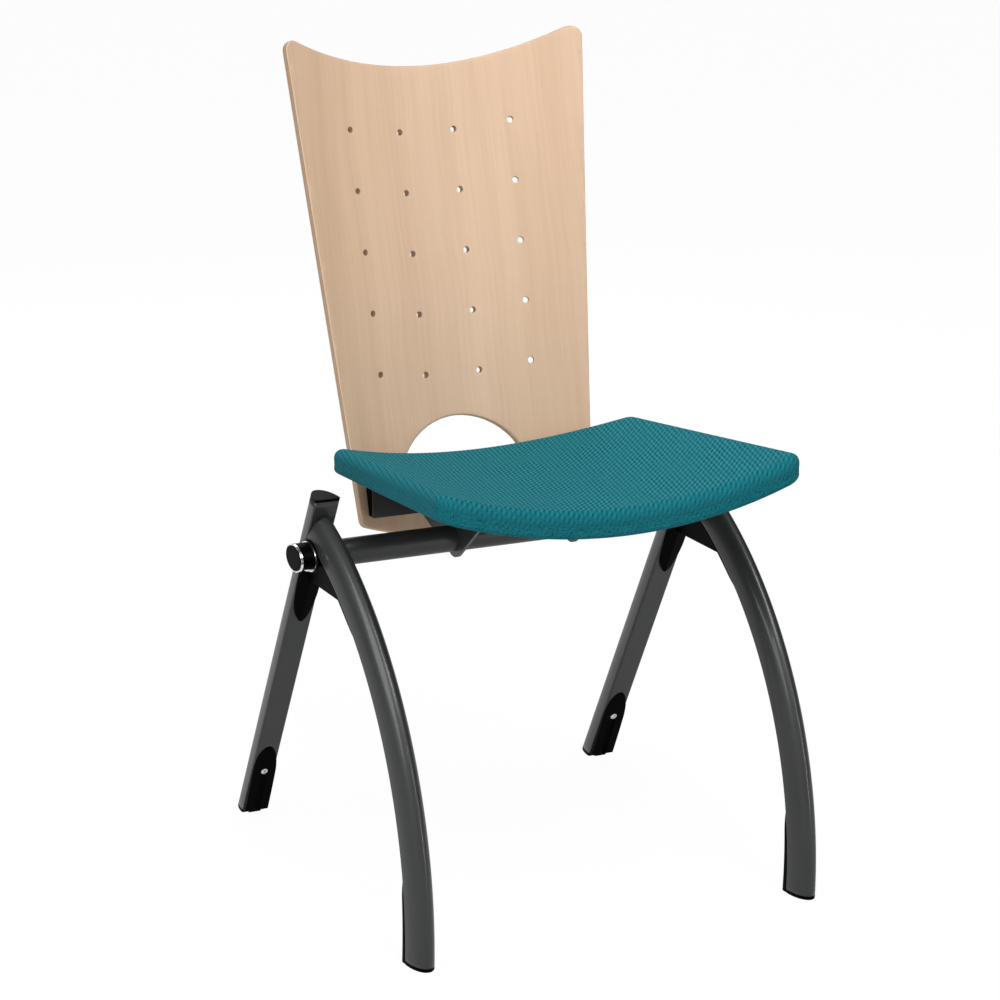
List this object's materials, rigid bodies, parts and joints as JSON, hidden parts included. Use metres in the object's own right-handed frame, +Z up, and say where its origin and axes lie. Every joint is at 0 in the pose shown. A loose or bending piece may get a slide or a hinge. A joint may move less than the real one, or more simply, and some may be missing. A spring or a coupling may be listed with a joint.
{
  "type": "nesting chair",
  "caption": "Nesting side chair: arched tube legs joined by a cross-bar, cantilevered upholstered seat, bent plywood back with vent holes and a hand hole.",
  "frame": {"origin": "on the floor, midway between the feet, in the chair's middle plane", "axes": "+Z up, +X towards the sitter's left, -Y towards the front of the chair"},
  "size_m": [0.5454, 0.5711, 0.939],
  "materials": {
    "steel": "graphite powder coat, satin gloss",
    "plastic": "black, fine satin",
    "chrome": "bright",
    "zinc": "zinc plated",
    "beech": "pale beech veneer, satin lacquer, grain upright",
    "board": "plywood stained black, matt",
    "fabric": "teal woven upholstery"
  },
  "bodies": {
    "root": {"rear_leg_left": "steel", "rear_leg_right": "steel", "front_leg_left": "steel", "front_leg_right": "steel", "leg_cap_left": "plastic", "leg_cap_right": "plastic", "rear_glide_left": "plastic", "rear_glide_right": "plastic", "front_glide_left": "plastic", "front_glide_right": "plastic", "glide_screws": "zinc", "joint_left": "plastic", "joint_right": "plastic", "crossbar": "steel", "bar_plug_left": "zinc", "bar_plug_right": "zinc", "knob_stud_left": "plastic", "knob_stud_right": "plastic", "knob_washer_left": "chrome", "knob_washer_right": "chrome", "knob_sleeve_left": "plastic", "knob_sleeve_right": "plastic", "knob_ring_left": "chrome", "knob_ring_right": "chrome", "knob_inner_ring_left": "chrome", "knob_inner_ring_right": "chrome", "knob_face_left": "plastic", "knob_face_right": "plastic", "carrier_left": "steel", "carrier_right": "steel", "back_block_left": "plastic", "back_block_right": "plastic", "block_screws": "zinc", "back_bolts": "zinc", "back_panel": "beech", "seat_board": "board", "seat_inserts": "zinc", "seat_screws": "zinc", "seat_cushion": "fabric"}
  },
  "joints": []
}
